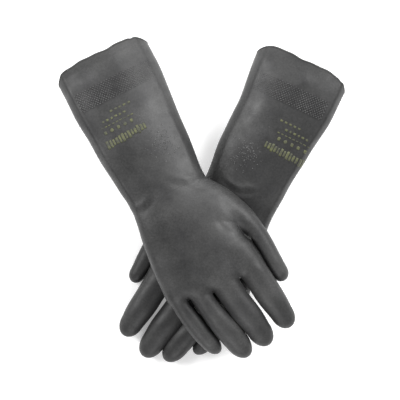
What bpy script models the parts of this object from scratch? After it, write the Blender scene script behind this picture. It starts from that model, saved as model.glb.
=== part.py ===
"""A pair of black rubber insulating gauntlets, lying crossed on a table with the backs of the hands up.

Each glove is a dipped rubber shell with a flocked cotton lining, a rolled bead round the cuff, an embossed
grip band and a printed marking panel. The rubber is one skin on the real glove. Here it is parted at the
wrist and at the middle knuckle of each digit, where the glove bends, and each parting is a hinge.

A glove is designed in its own frame, in millimetres: u points to the thumb, v runs from the cuff's rim to
the fingertips, and w is the height above the table. The right glove is the mirror image of the left one,
and is lifted where it lies across the left hand.
"""

import math

import bmesh
import bpy
import numpy as np
from mathutils import Matrix, Vector

MM = 0.001

# Driving dimensions, in millimetres
WALL = 1.5
LINING_GAP = 0.5
LINING_WALL = 0.6
HINGE_GAP = 0.4
BEAD_RADIUS = 1.7
TUBE_SIDES = 16
DIGIT_SIDES = 8
BEAD_SIDES = 6
SECTION_POWER = 2.5
TABLE_FLAT = 1.2

# The sleeve and palm of each glove: v, the little-finger edge, the thumb edge, and half the height.
TUBE_STATIONS = {
    "right": [
        (0, -51.0, 44.5, 31.0),
        (20, -54.0, 45.5, 31.0),
        (40, -53.5, 44.5, 30.0),
        (60, -52.0, 42.5, 28.5),
        (80, -50.5, 41.0, 27.0),
        (100, -48.5, 39.5, 25.0),
        (120, -46.0, 37.5, 23.0),
        (140, -44.5, 36.0, 21.3),
        (160, -46.0, 38.0, 20.6),
        (180, -50.0, 41.0, 20.0),
        (200, -52.5, 43.0, 19.6),
        (220, -53.0, 45.0, 19.2),
        (240, -53.0, 46.5, 17.6),
        (256, -52.0, 48.0, 14.5),
    ],
    "left": [
        (0, -46.5, 48.5, 31.0),
        (20, -49.0, 47.5, 31.0),
        (40, -47.5, 45.0, 30.0),
        (60, -45.0, 44.0, 28.5),
        (80, -43.0, 43.8, 27.0),
        (100, -41.0, 43.0, 25.0),
        (120, -39.5, 41.0, 23.0),
        (140, -38.5, 40.0, 21.3),
        (160, -40.0, 40.5, 20.6),
        (180, -45.0, 42.0, 20.0),
        (200, -48.5, 43.5, 19.6),
        (220, -50.5, 45.2, 19.2),
        (240, -52.0, 46.5, 17.6),
        (256, -52.0, 48.0, 14.5),
    ],
}
# Each digit's centre line and half sizes: u, v, w, half width, half thickness. The first lies in the palm.
DIGIT_STATIONS = {
    "right": {
        "thumb": [
            (20.0, 158, 20.0, 12.0, 12.0),
            (40.0, 182, 17.5, 15.0, 13.0),
            (49.0, 203, 14.8, 13.6, 12.8),
            (56.4, 220, 13.0, 10.0, 12.0),
            (58.6, 238, 12.0, 9.0, 11.4),
            (60.0, 254, 11.0, 8.6, 10.4),
            (60.4, 266, 9.6, 7.6, 9.0),
        ],
        "index": [
            (30.0, 230, 19.0, 11.0, 10.5),
            (36.3, 262, 19.5, 13.0, 11.8),
            (41.0, 290, 16.0, 12.4, 10.8),
            (44.0, 310, 11.5, 10.8, 9.8),
        ],
        "middle": [
            (5.0, 230, 19.5, 13.0, 12.0),
            (5.8, 262, 20.5, 13.6, 12.2),
            (11.8, 290, 17.0, 12.4, 11.0),
            (15.2, 316, 11.5, 10.8, 9.8),
        ],
        "ring": [
            (-22.0, 230, 19.5, 12.0, 11.5),
            (-21.7, 262, 20.0, 11.8, 12.0),
            (-14.8, 290, 16.5, 12.0, 11.0),
            (-9.4, 318, 11.5, 11.0, 9.8),
        ],
        "little": [
            (-39.0, 226, 17.0, 8.5, 9.5),
            (-43.0, 255, 17.0, 9.0, 10.0),
            (-39.4, 280, 14.0, 9.4, 9.6),
            (-34.8, 302, 9.5, 8.8, 8.6),
        ],
    },
    "left": {
        "thumb": [
            (20.0, 156, 20.0, 12.0, 12.0),
            (39.5, 179, 17.5, 15.0, 13.0),
            (48.8, 199, 14.8, 13.2, 12.8),
            (56.2, 214, 13.0, 10.0, 12.0),
            (58.2, 230, 12.0, 9.0, 11.4),
            (59.0, 244, 11.0, 8.6, 10.4),
            (59.0, 255, 9.6, 7.6, 9.0),
        ],
        "index": [
            (30.0, 230, 19.0, 11.0, 10.5),
            (36.3, 262, 19.5, 13.0, 11.8),
            (41.0, 288, 16.0, 12.4, 10.8),
            (44.0, 307, 11.5, 10.8, 9.8),
        ],
        "middle": [
            (5.0, 230, 19.5, 13.0, 12.0),
            (5.8, 262, 20.5, 13.6, 12.2),
            (11.4, 290, 17.0, 12.4, 11.0),
            (14.8, 316, 11.5, 10.8, 9.8),
        ],
        "ring": [
            (-22.0, 230, 19.5, 12.0, 11.5),
            (-21.7, 262, 20.0, 11.8, 12.0),
            (-14.8, 288, 16.5, 12.0, 11.0),
            (-9.0, 313, 11.5, 11.0, 9.8),
        ],
        "little": [
            (-39.0, 226, 17.0, 8.5, 9.5),
            (-43.6, 253, 17.0, 8.9, 10.0),
            (-40.4, 276, 14.0, 9.2, 9.6),
            (-35.0, 295, 9.5, 8.8, 8.6),
        ],
    },
}
DIGITS = ("thumb", "index", "middle", "ring", "little")
HINGE_V = {
    "right": {"thumb": 234, "index": 282, "middle": 283, "ring": 283, "little": 275},
    "left": {"thumb": 227, "index": 281, "middle": 283, "ring": 281, "little": 273},
}
WRIST_V = 118
DIGIT_BARREL = 1.3
WRIST_BARREL = 1.2
ARC_STEPS = 10
TIP_STEPS = (40, 75)
TIP_REACH = 1.5
TANGENT_STEP = 4

# The space each hinge parts off, in millimetres: how far ahead, and how far beyond the piece it reaches
DIGIT_ZONE_LENGTH = 70
DIGIT_ZONE_MARGIN = 3
WRIST_ZONE_LENGTH = 200
WRIST_ZONE_HALF_WIDTH = 70
WRIST_ZONE_HALF_HEIGHT = 75

# Where the hand's solid and its cavity start and end along the glove, and how far a cavity runs past a mouth
HAND_START = 70
PALM_END = 256
CAVITY_OVERRUN = 10
SLEEVE_OVERRUN = 40

# Grip band and marking panel on the back of the sleeve: v from, v to, and the section points they span.
GRIP_BAND = (20, 40, 1, 6)
MARKING = (48, 88, 3, 5)
BAND_THICKNESS = 0.6
MARKING_THICKNESS = 0.25
TRIM_GAP = 0.3

# How high the right glove is lifted along its length, in v and w, where it lies across the left hand
LIFT = [(0, 0), (165, 40), (236, 41), (335, 29)]
LEVEL = [(0, 0), (335, 0)]
GLOVES = {
    "left": {"side": "left", "cuff": (99.8, 131.9), "turn": -26.0, "thumb_side": -1, "lift": LEVEL},
    "right": {"side": "right", "cuff": (-96.2, 141.9), "turn": 26.9, "thumb_side": 1, "lift": LIFT},
}

RUBBER = ("rubber", (0.035, 0.036, 0.036), 0.55)
FLOCK = ("flock", (0.16, 0.155, 0.145), 0.95)
INK = ("ink", (0.19, 0.2, 0.06), 0.7)


def clear_scene():
    for obj in list(bpy.data.objects):
        bpy.data.objects.remove(obj)


def material(spec):
    name, colour, roughness = spec
    found = bpy.data.materials.get(name) or bpy.data.materials.new(name)
    found.use_nodes = True
    shader = found.node_tree.nodes["Principled BSDF"]
    shader.inputs["Base Color"].default_value = (*colour, 1)
    shader.inputs["Roughness"].default_value = roughness
    shader.inputs["Metallic"].default_value = 0
    return found


def placed(glove, point):
    """A point of the glove's own frame, in millimetres, as a world point in metres."""
    u, v, w = point
    turn = math.radians(glove["turn"])
    along = Vector((math.sin(turn), -math.cos(turn)))
    across = Vector((math.cos(turn), math.sin(turn))) * glove["thumb_side"]
    flat = Vector(glove["cuff"]) + along * v + across * u
    heights = np.array(glove["lift"], float)
    return Vector((flat.x, flat.y, w + np.interp(v, heights[:, 0], heights[:, 1]))) * MM


def superellipse(half_width, half_height, sides):
    """Offsets (across, up) round a section, starting from the thumb side, with a level edge top and bottom."""
    found = []
    for k in range(sides):
        angle = 2 * math.pi * (k + 0.5) / sides
        c, s = math.cos(angle), math.sin(angle)
        power = 2 / SECTION_POWER
        x = math.copysign(abs(c) ** power, c) * half_width
        y = math.copysign(abs(s) ** power, s) * half_height
        found.append((x, y))
    return found


def tube_section(glove, v, inset):
    """The sleeve and palm's section at v, as points of the glove's frame, moved inwards by inset."""
    table = np.array(TUBE_STATIONS[glove["side"]], float)
    little, thumb, half = (np.interp(v, table[:, 0], table[:, k]) for k in (1, 2, 3))
    middle = (little + thumb) / 2
    ring = superellipse((thumb - little) / 2 - inset, half - inset, TUBE_SIDES)
    return [Vector((middle + x, v, max(half - TABLE_FLAT + y, inset))) for x, y in ring]


def tube_sections(glove, start, end, inset):
    between = [row[0] for row in TUBE_STATIONS[glove["side"]] if start < row[0] < end]
    return [tube_section(glove, v, inset) for v in (start, *between, end)]


def digit_frame(glove, digit, v):
    """Centre, tangent, across, up and half sizes of a digit's section at v."""
    table = np.array(DIGIT_STATIONS[glove["side"]][digit], float)
    columns = [np.interp(v, table[:, 1], table[:, k]) for k in (0, 2, 3, 4)]
    centre = Vector((columns[0], v, columns[1]))
    after, before = v + TANGENT_STEP, v - TANGENT_STEP
    ahead = [float(np.interp(after, table[:, 1], table[:, k])) for k in (0, 2)]
    behind = [float(np.interp(before, table[:, 1], table[:, k])) for k in (0, 2)]
    reach = min(after, table[-1, 1]) - max(before, table[0, 1])
    tangent = Vector((ahead[0] - behind[0], reach, ahead[1] - behind[1])).normalized()
    across = (Vector((1, 0, 0)) - tangent * tangent.x).normalized()
    return centre, tangent, across, across.cross(tangent), columns[2], columns[3]


def digit_section(frame, inset, shrink=1.0, advance=0.0):
    centre, tangent, across, up, half_width, half_height = frame
    ring = superellipse(
        (half_width - inset) * shrink, (half_height - inset) * shrink, DIGIT_SIDES
    )
    middle = centre + tangent * advance
    points = [middle + across * x + up * y for x, y in ring]
    return [Vector((p.x, p.y, max(p.z, inset))) for p in points]


def digit_sections(glove, digit, inset, end=None):
    """Sections from the palm to the rounded tip, or to a flat end at v."""
    rows = DIGIT_STATIONS[glove["side"]][digit]
    stations = [row[1] for row in rows if end is None or row[1] < end]
    rings = [digit_section(digit_frame(glove, digit, v), inset) for v in stations]
    if end is not None:
        return [*rings, digit_section(digit_frame(glove, digit, end), inset)]
    last = digit_frame(glove, digit, rows[-1][1])
    reach = (last[4] + last[5]) / 2 + TIP_REACH - inset
    for degrees in TIP_STEPS:
        angle = math.radians(degrees)
        rings.append(digit_section(last, inset, math.cos(angle), math.sin(angle) * reach))
    return rings


def mesh_object(name, points, faces):
    mesh = bpy.data.meshes.new(name)
    mesh.from_pydata(points, [], faces)
    obj = bpy.data.objects.new(name, mesh)
    bpy.context.scene.collection.objects.link(obj)
    tidy = bmesh.new()
    tidy.from_mesh(mesh)
    bmesh.ops.recalc_face_normals(tidy, faces=tidy.faces)
    tidy.to_mesh(mesh)
    tidy.free()
    return obj


def loft(name, glove, rings):
    """A closed solid through rings of equal length, with a flat cap at each end."""
    count = len(rings[0])
    points = [placed(glove, p) for ring in rings for p in ring]
    faces = []
    for r in range(len(rings) - 1):
        for k in range(count):
            a, b = r * count + k, r * count + (k + 1) % count
            faces += [(a, b, b + count), (a, b + count, a + count)]
    faces.append(tuple(range(count)))
    faces.append(tuple(len(points) - count + k for k in range(count)))
    return mesh_object(name, points, faces)


def boolean(obj, other, operation):
    """Applies the operation and removes the other object."""
    modifier = obj.modifiers.new(operation, "BOOLEAN")
    modifier.object = other
    modifier.operation = operation
    modifier.solver = "EXACT"
    bpy.context.view_layer.update()
    graph = bpy.context.evaluated_depsgraph_get()
    made = bpy.data.meshes.new_from_object(obj.evaluated_get(graph))
    obj.modifiers.clear()
    obj.data = made
    bpy.data.objects.remove(other)
    return obj


def hinge(glove, centre, tangent, across):
    """World position, unit axis and unit direction along the digit. A positive turn curls the digit."""
    at = placed(glove, centre)
    along = (placed(glove, centre + tangent) - placed(glove, centre - tangent)).normalized()
    axis = (placed(glove, centre + across) - placed(glove, centre - across)) * glove["thumb_side"]
    axis.z = 0
    axis.normalize()
    along = (along - axis * along.dot(axis)).normalized()
    return at, axis, along


def digit_hinge(glove, digit):
    centre, tangent, across, _, _, _ = digit_frame(glove, digit, HINGE_V[glove["side"]][digit])
    return hinge(glove, centre, tangent, across)


def wrist_hinge(glove):
    section = tube_section(glove, WRIST_V, 0)
    middle = sum(section, Vector()) / len(section)
    return hinge(glove, middle, Vector((0, 1, 0)), Vector((1, 0, 0)))


def hinge_zone(place, radius, half_width, length, half_height):
    """The space of a hinged piece: a half-round barrel about the hinge, and a block ahead of it."""
    at, axis, along = place
    up = along.cross(axis)
    profile = [(0, -half_height), (length, -half_height), (length, half_height), (0, half_height)]
    for k in range(ARC_STEPS + 1):
        angle = math.pi / 2 + math.pi * k / ARC_STEPS
        profile.append((radius * math.cos(angle), radius * math.sin(angle)))
    count = len(profile)
    points = []
    for side in (-half_width, half_width):
        points += [at + (axis * side + along * t + up * h) * MM for t, h in profile]
    faces = [tuple(range(count)), tuple(range(count, 2 * count))]
    for k in range(count):
        j = (k + 1) % count
        faces.append((k, j, j + count, k + count))
    return mesh_object("zone", points, faces)


def digit_zone(glove, digit, clearance):
    frame = digit_frame(glove, digit, HINGE_V[glove["side"]][digit])
    radius = DIGIT_BARREL * frame[5] + clearance
    half_width = frame[4] + DIGIT_ZONE_MARGIN
    half_height = radius + DIGIT_ZONE_MARGIN
    return hinge_zone(digit_hinge(glove, digit), radius, half_width, DIGIT_ZONE_LENGTH, half_height)


def wrist_zone(glove, clearance):
    half = tube_section(glove, WRIST_V, 0)[TUBE_SIDES // 4].z / 2
    radius = WRIST_BARREL * half + clearance
    place = wrist_hinge(glove)
    return hinge_zone(place, radius, WRIST_ZONE_HALF_WIDTH, WRIST_ZONE_LENGTH, WRIST_ZONE_HALF_HEIGHT)


def finish(obj, name, spec, pivot):
    """Names the piece, gives it its material and puts its origin on its joint's axis."""
    obj.name = name
    obj.data.name = name
    obj.data.transform(Matrix.Translation(-pivot))
    obj.location = pivot
    obj.data.materials.clear()
    obj.data.materials.append(material(spec))
    obj.data.shade_smooth()
    obj.data.set_sharp_from_angle(angle=math.radians(35))
    return obj


def sleeve(glove, outer, inner):
    """The gauntlet from its rim to the wrist hinge."""
    body = loft("sleeve", glove, tube_sections(glove, 0, WRIST_V, outer))
    boolean(body, wrist_zone(glove, HINGE_GAP), "DIFFERENCE")
    cavity = tube_sections(glove, 0, WRIST_V + SLEEVE_OVERRUN, inner)
    mouth = [Vector((p.x, -CAVITY_OVERRUN, p.z)) for p in cavity[0]]
    return boolean(body, loft("cavity", glove, [mouth, *cavity]), "DIFFERENCE")


def hand(glove, outer, inner):
    """The palm and back with the roots of the five digits, each root ending at its hinge."""
    body = loft("hand", glove, tube_sections(glove, HAND_START, PALM_END - outer, outer))
    boolean(body, wrist_zone(glove, 0), "INTERSECT")
    for digit in DIGITS:
        end = HINGE_V[glove["side"]][digit]
        root = loft("root", glove, digit_sections(glove, digit, outer, end))
        boolean(root, digit_zone(glove, digit, HINGE_GAP), "DIFFERENCE")
        boolean(body, root, "UNION")
    cavity = tube_sections(glove, HAND_START - CAVITY_OVERRUN, PALM_END - inner, inner)
    boolean(body, loft("cavity", glove, cavity), "DIFFERENCE")
    for digit in DIGITS:
        boolean(body, loft("cavity", glove, digit_sections(glove, digit, inner)), "DIFFERENCE")
    return body


def stall(glove, digit, outer, inner):
    """One digit from its hinge to its tip, open at the hinge."""
    body = loft("stall", glove, digit_sections(glove, digit, outer))
    boolean(body, digit_zone(glove, digit, 0), "INTERSECT")
    return boolean(body, loft("cavity", glove, digit_sections(glove, digit, inner)), "DIFFERENCE")


def layer(side, glove, suffixes, inset, wall, spec):
    """One skin of the glove: the rubber shell, or the lining inside it."""
    inner = inset + wall
    wrist = wrist_hinge(glove)[0]
    finish(sleeve(glove, inset, inner), f"{side}_gauntlet_{suffixes[0]}", spec, wrist)
    finish(hand(glove, inset, inner), f"{side}_hand_{suffixes[0]}", spec, wrist)
    for digit in DIGITS:
        pivot = digit_hinge(glove, digit)[0]
        finish(stall(glove, digit, inset, inner), f"{side}_{digit}_{suffixes[1]}", spec, pivot)


def cuff_bead(side, glove):
    """The rolled edge round the cuff's rim."""
    rim = tube_section(glove, 0, WALL / 2)
    centre = sum(rim, Vector()) / len(rim)
    offset = BEAD_RADIUS + TRIM_GAP
    rings = []
    for point in rim:
        out = (point - centre).normalized()
        ring = []
        for k in range(BEAD_SIDES):
            angle = 2 * math.pi * k / BEAD_SIDES
            ring.append(
                point
                + out * (math.cos(angle) * BEAD_RADIUS)
                + Vector((0, math.sin(angle) * BEAD_RADIUS - offset, 0))
            )
        rings.append([Vector((p.x, p.y, max(p.z, 0))) for p in ring])
    points = [placed(glove, p) for ring in rings for p in ring]
    faces = []
    for r in range(len(rings)):
        following = (r + 1) % len(rings)
        for k in range(BEAD_SIDES):
            j = (k + 1) % BEAD_SIDES
            faces.append(
                (
                    r * BEAD_SIDES + k,
                    r * BEAD_SIDES + j,
                    following * BEAD_SIDES + j,
                    following * BEAD_SIDES + k,
                )
            )
    finish(mesh_object("bead", points, faces), f"{side}_cuff_bead", RUBBER, wrist_hinge(glove)[0])


def back_panel(side, glove, name, extent, thickness, spec):
    """A thin panel over the back of the sleeve, following its facets."""
    start, end, first, last = extent
    between = [row[0] for row in TUBE_STATIONS[side] if start < row[0] < end]
    rings = []
    for v in (start, *between, end):
        low = tube_section(glove, v, -TRIM_GAP)[first : last + 1]
        high = tube_section(glove, v, -TRIM_GAP - thickness)[first : last + 1]
        rings.append(low + high[::-1])
    finish(loft(name, glove, rings), f"{side}_{name}", spec, wrist_hinge(glove)[0])


def build_glove(side, glove):
    layer(side, glove, ("shell", "stall"), 0.0, WALL, RUBBER)
    layer(side, glove, ("lining", "lining"), WALL + LINING_GAP, LINING_WALL, FLOCK)
    cuff_bead(side, glove)
    back_panel(side, glove, "grip_band", GRIP_BAND, BAND_THICKNESS, RUBBER)
    back_panel(side, glove, "marking", MARKING, MARKING_THICKNESS, INK)


def main():
    clear_scene()
    for side, glove in GLOVES.items():
        build_glove(side, glove)


main()
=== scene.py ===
"""Looks for a pair of black rubber insulating gauntlets, lying crossed with the backs of the hands up.

Each glove is designed in its own frame, in millimetres: u points to the thumb, v runs from the cuff's rim
to the fingertips, and w is the height above the table. The sleeve and the digits are lofts, and the hand
between them is the surface of a smooth union of the same shapes. Rubber and flock are closed skins. The
pieces of the sleeve and of the digits are baked in place, and the hand rides its body.
"""

import math

import bmesh
import bpy
import numpy as np
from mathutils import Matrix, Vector


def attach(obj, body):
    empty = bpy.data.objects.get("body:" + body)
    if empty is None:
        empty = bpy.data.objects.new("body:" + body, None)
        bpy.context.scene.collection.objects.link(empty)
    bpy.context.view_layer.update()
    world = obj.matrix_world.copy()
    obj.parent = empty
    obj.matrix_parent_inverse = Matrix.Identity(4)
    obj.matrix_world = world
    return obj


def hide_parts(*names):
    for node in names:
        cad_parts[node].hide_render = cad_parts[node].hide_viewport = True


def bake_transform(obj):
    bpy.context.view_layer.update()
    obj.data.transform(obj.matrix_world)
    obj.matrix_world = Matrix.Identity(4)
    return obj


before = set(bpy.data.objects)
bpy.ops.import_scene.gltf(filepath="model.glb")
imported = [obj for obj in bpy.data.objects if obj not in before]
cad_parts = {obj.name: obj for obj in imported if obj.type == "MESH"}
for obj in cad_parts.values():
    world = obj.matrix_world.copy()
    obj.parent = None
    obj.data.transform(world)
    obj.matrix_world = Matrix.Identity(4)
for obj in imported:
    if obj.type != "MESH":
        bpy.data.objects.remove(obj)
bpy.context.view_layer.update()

MM = 0.001
SIDES = ("left", "right")
DIGITS = ("thumb", "index", "middle", "ring", "little")
FINGERS = DIGITS[1:]

RUBBER_WALL = 1.5
LINING_DEPTH = 1.9
LINING_WALL = 0.6
BEAD_RADIUS = 1.25
TABLE_FLAT = 1.2
TABLE_SOFTNESS = 2.5
SECTION_POWER = 2.5
DIGIT_POWER = 2.2

# The sleeve and palm: v, the little-finger edge, the thumb edge, and half the height.
TUBES = {
    "right": [
        (-12, -53.5, 45.0, 30.5),
        (10, -54.0, 45.5, 31.0),
        (30, -54.0, 45.0, 30.8),
        (50, -53.0, 44.0, 29.4),
        (75, -51.5, 41.5, 27.4),
        (100, -49.8, 39.5, 25.0),
        (120, -47.2, 37.6, 23.0),
        (147, -45.0, 36.0, 21.2),
        (162, -46.2, 37.6, 20.6),
        (180, -49.5, 40.5, 20.0),
        (200, -51.6, 42.5, 19.6),
        (220, -52.8, 44.2, 19.0),
        (240, -53.0, 47.2, 17.6),
        (262, -52.0, 50.0, 14.5),
    ],
    "left": [
        (-12, -47.5, 49.5, 30.5),
        (10, -48.5, 48.5, 31.0),
        (30, -48.8, 45.8, 30.8),
        (50, -46.5, 44.0, 29.4),
        (75, -43.6, 43.8, 27.4),
        (100, -41.2, 43.2, 25.0),
        (120, -39.6, 41.0, 23.0),
        (147, -38.6, 40.0, 21.2),
        (162, -39.4, 40.5, 20.6),
        (180, -43.5, 42.0, 20.0),
        (200, -47.0, 43.5, 19.6),
        (220, -49.0, 45.5, 19.0),
        (240, -50.0, 48.5, 17.6),
        (262, -49.0, 50.5, 14.5),
    ],
}
# Each digit's centre line and half sizes: u, v, w, half width, half thickness. The first lies in the palm.
DIGIT_STATIONS = {
    "thumb": [
        (20.0, 152, 21.0, 14.0, 13.0),
        (37.0, 178, 18.5, 15.5, 13.6),
        (49.0, 201, 14.6, 13.0, 12.6),
        (55.2, 222, 11.6, 10.7, 11.0),
        (57.1, 240, 10.4, 10.3, 10.3),
        (57.9, 255, 9.9, 9.8, 9.7),
        (58.8, 266, 9.2, 8.7, 9.0),
    ],
    "index": [
        (33.0, 226, 18.5, 13.5, 12.5),
        (37.0, 260, 19.0, 14.0, 12.2),
        (39.0, 280, 17.2, 13.5, 11.4),
        (41.4, 298, 13.8, 12.6, 10.6),
        (42.2, 306, 12.0, 11.9, 10.0),
    ],
    "middle": [
        (5.0, 226, 19.5, 14.0, 13.0),
        (6.0, 260, 20.5, 13.9, 12.4),
        (9.0, 280, 18.6, 13.8, 11.8),
        (13.0, 300, 14.8, 13.0, 10.8),
        (14.4, 310, 12.4, 12.4, 10.2),
    ],
    "ring": [
        (-21.0, 226, 19.0, 12.0, 12.0),
        (-20.8, 260, 20.0, 11.0, 12.0),
        (-17.0, 280, 18.4, 11.8, 11.6),
        (-12.6, 300, 14.8, 12.3, 10.8),
        (-10.5, 310, 12.8, 11.9, 10.2),
    ],
    "little": [
        (-39.5, 222, 17.0, 10.0, 11.0),
        (-43.4, 254, 16.6, 9.0, 10.2),
        (-40.6, 271, 14.6, 10.0, 9.8),
        (-37.6, 288, 11.8, 9.4, 9.2),
        (-35.0, 298, 10.2, 8.9, 8.6),
    ],
}
# How far each tip reaches past its last station
TIP_REACH = {"thumb": 11.0, "index": 16.0, "middle": 18.5, "ring": 19.5, "little": 15.0}
# The left glove's fingertips lie a little differently: shifts in u and v that grow from the root to the tip
TIP_SHIFT = {"thumb": (0.0, -11.0), "index": (0.0, -3.0), "middle": (0.0, 1.0), "ring": (1.5, -5.5),
             "little": (2.5, -8.5)}
HINGE_V = {
    "right": {"thumb": 234, "index": 282, "middle": 283, "ring": 283, "little": 275},
    "left": {"thumb": 227, "index": 281, "middle": 283, "ring": 281, "little": 273},
}
# How far behind its hinge a digit parts from the hand, and a span about the hinge, whose centre points are
# found but not used
CUT_BEHIND = 13.5
BEND_REACH = (-12, 13)
THUMB_WEB = {"right": (188, 209), "left": (186, 206)}
WRIST_CUT = 147
WRIST_BEND = (145, 93)
HAND_STEP = 1.4

LIFT = [(0, 0), (165, 40), (236, 41), (335, 29)]
LEVEL = [(0, 0), (335, 0)]
PLACES = {
    "left": {"cuff": (99.8, 131.9), "turn": -26.0, "thumb_side": -1, "lift": LEVEL},
    "right": {"cuff": (-96.2, 141.9), "turn": 26.9, "thumb_side": 1, "lift": LIFT},
}
LIFT_SOFTNESS = 22

# Where along v the sleeve's section turns into the hand's, and where the sleeve's creases fade out
SLEEVE_TO_HAND = (150, 200)
CREASE_FADE = (120, 158)
# Where the palm's front is, and how much further back it lies on the little finger's side
PALM_FRONT = 253
PALM_SLANT = 6
# The grid round a hand: its lowest corner and its size
HAND_LOW = (-64.0, WRIST_CUT - 5, -5.0)
HAND_SIZE = (138.0, 282 - WRIST_CUT + 5, 50.0)
# Points round a ring, and rows along a piece
SLEEVE_COLUMNS = 168
SLEEVE_ROWS = 104
DIGIT_COLUMNS = 60
DIGIT_ROWS = 30
TIP_ROWS = 14
BEAD_SIDES = 12

# The crease along the sleeve's little-finger side and the line along its thumb side, as shares of the half
# width from the middle
CREASE = {"right": -0.84, "left": -0.86}
THUMB_LINE = 0.82
# The skin's slow unevenness: its height, its middle wavelength and how far the wavelengths spread
SWELL_HEIGHT = 0.1
SWELL_LENGTH = 46
SWELL_SPREAD = 20
# Dents and bumps on the back: where in u and v, size, height
CUFF_DENTS = {
    "right": [(-27, 10, 11, 1.3), (-27, 21, 12, -0.8), (18, 8, 12, 0.7), (2, 150, 20, -0.5)],
    "left": [(-8, 10, 12, 1.0), (32, 8, 10, 0.9), (6, 24, 16, -0.6), (0, 140, 16, 0.7)],
}
# Soft folds in the rubber: where in u and v, heading from u in degrees, half length, half width, height
FOLDS = {
    "right": [
        (22, 143, 12, 17, 3.2, 0.9),
        (16, 150, 18, 16, 3.0, -0.8),
        (28, 158, 25, 12, 2.6, 0.6),
        (-30, 152, -14, 16, 3.0, -0.5),
        (-34, 145, -10, 15, 2.8, 0.5),
        (30, 205, 60, 14, 3.0, -0.7),
        (38, 196, 62, 13, 3.2, 0.5),
        (8, 12, 80, 10, 3.5, 0.5),
        (-12, 16, 70, 9, 3.0, -0.5),
    ],
    "left": [
        (6, 132, 8, 15, 2.4, 0.9),
        (2, 138, 12, 17, 2.6, -0.8),
        (-4, 128, -6, 14, 2.4, 0.5),
        (30, 24, 84, 10, 3.2, -0.7),
        (22, 60, 78, 24, 6.0, 0.7),
        (-6, 12, 75, 9, 3.0, 0.5),
    ],
}
# The small notch in the cuff's rim, in u
RIM_NOTCH = {"right": 32.0, "left": -40.0}

# The grip band: its ends in u and in v, the spacing of its studs, and their radius and height
GRIP_BAND = {"right": (-44, 36), "left": (-38, 36)}
GRIP_V = (19.5, 39.5)
STUD_PITCH = (3.0, 1.65)
STUD_SIZE = (0.92, 0.6)
# A stud's rings from the foot up: shares of its radius and of its height
STUD_RINGS = ((1.0, -0.25), (0.98, 0.05), (0.62, 0.75))
# The dip's specks: how many are drawn, their middle and spread in u and v, the last v kept, and their size
SPECK_COUNT = 130
SPECK_MIDDLE = (14, 101)
SPECK_SPREAD = (6.5, 9)
SPECK_END = 122
SPECK_SIZE = (0.75, 0.4)
# Where the printed marking lies, how high its ink starts over the rubber, and how thick it is
MARKING = {"right": (-16, 78.5), "left": (-21, 84.5)}
INK_HEIGHT = 0.06
INK_THICKNESS = 0.12
# Painted shade: how much darker the rubber is painted between the studs
STUD_GAP_PAINTED_SHADE = 0.45
# Painted light and shade: lighter patches where light falls and darker ones where shade falls, as in the
# thumb's web and by the crossing. Where in u and v, half sizes, and how much lighter or darker
PAINTED_LIGHT_AND_SHADE = {
    "right": [
        (18, 80, 17, 90, 0.7),
        (14, 155, 12, 26, 0.5),
        (36, 192, 11, 22, 1.0),
        (-27, 120, 11, 90, -0.4),
        (-26, 12, 12, 8, 0.9),
        (0, 286, 62, 26, 0.3),
        (60, 245, 8, 30, 0.4),
        (47, 219, 4.5, 9, -1.0),
        (49.5, 234, 4.5, 12, -0.9),
        (52, 250, 4, 10, -0.5),
        (-46, 205, 7, 40, 0.4),
    ],
    "left": [
        (0, 12, 40, 16, 0.4),
        (24, 50, 13, 32, 0.3),
        (27, 116, 15, 21, -0.7),
        (-22, 84, 12, 30, -0.3),
        (2, 134, 7, 4, 0.8),
    ],
}

FLOOR_GLOW = 0.3
SURROUND_GLOW = 0.28
# The lights: name, azimuth, slant and power, then their size, distance and target in metres
SOFT_BOXES = (
    ("right_box", 30, 44, 38),
    ("left_box", 160, 48, 32),
    ("far_box", 85, 60, 26),
    ("near_box", 268, 56, 16),
)
BOX_SIZE = 1.0
BOX_DISTANCE = 1.9
LIGHT_TARGET = (0, 0, 0.03)
# The view: its width at the hands' height, its middle, the camera's height, and the hands' height, in metres
VIEW_WIDTH = 0.4
VIEW_CENTRE = (-0.0022, 0.0019)
VIEW_HEIGHT = 2.6
VIEW_LEVEL = 0.04
SENSOR_WIDTH = 36


def curve(table, at):
    """Values of a table's other columns at positions of its first, along a smooth curve through its rows."""
    table = np.asarray(table, float)
    knots, values = table[:, 0], table[:, 1:]
    slopes = np.gradient(values, knots, axis=0)
    at = np.clip(np.asarray(at, float), knots[0], knots[-1])
    k = np.clip(np.searchsorted(knots, at, side="right") - 1, 0, len(knots) - 2)
    span = (knots[k + 1] - knots[k])[..., None]
    t = (at - knots[k])[..., None] / span
    start, end = values[k], values[k + 1]
    out = start * (2 * t**3 - 3 * t**2 + 1) + end * (3 * t**2 - 2 * t**3)
    out += span * slopes[k] * (t**3 - 2 * t**2 + t)
    return out + span * slopes[k + 1] * (t**3 - t**2)


def smooth_min(a, b, reach):
    blend = np.clip(reach - np.abs(a - b), 0, None) / reach
    return np.minimum(a, b) - blend**2 * reach / 4


def smooth_max(a, b, reach):
    return -smooth_min(-a, -b, reach)


def ramp(x, start, end):
    """Rises smoothly from 0 at start to 1 at end."""
    t = np.clip((x - start) / (end - start), 0, 1)
    return t * t * (3 - 2 * t)


def lift_at(side, v):
    """Height of the glove's frame at v, with the corners of its lift line rounded off."""
    rows = np.array(PLACES[side]["lift"], float)
    offsets = np.linspace(-LIFT_SOFTNESS, LIFT_SOFTNESS, 9)
    first = rows[0, 1] + (rows[1, 1] - rows[0, 1]) / (rows[1, 0] - rows[0, 0]) * (v - rows[0, 0])
    held = np.mean([np.interp(v + d, rows[:, 0], rows[:, 1]) for d in offsets], axis=0)
    return np.where(v < LIFT_SOFTNESS, np.maximum(first, 0), held)


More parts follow.
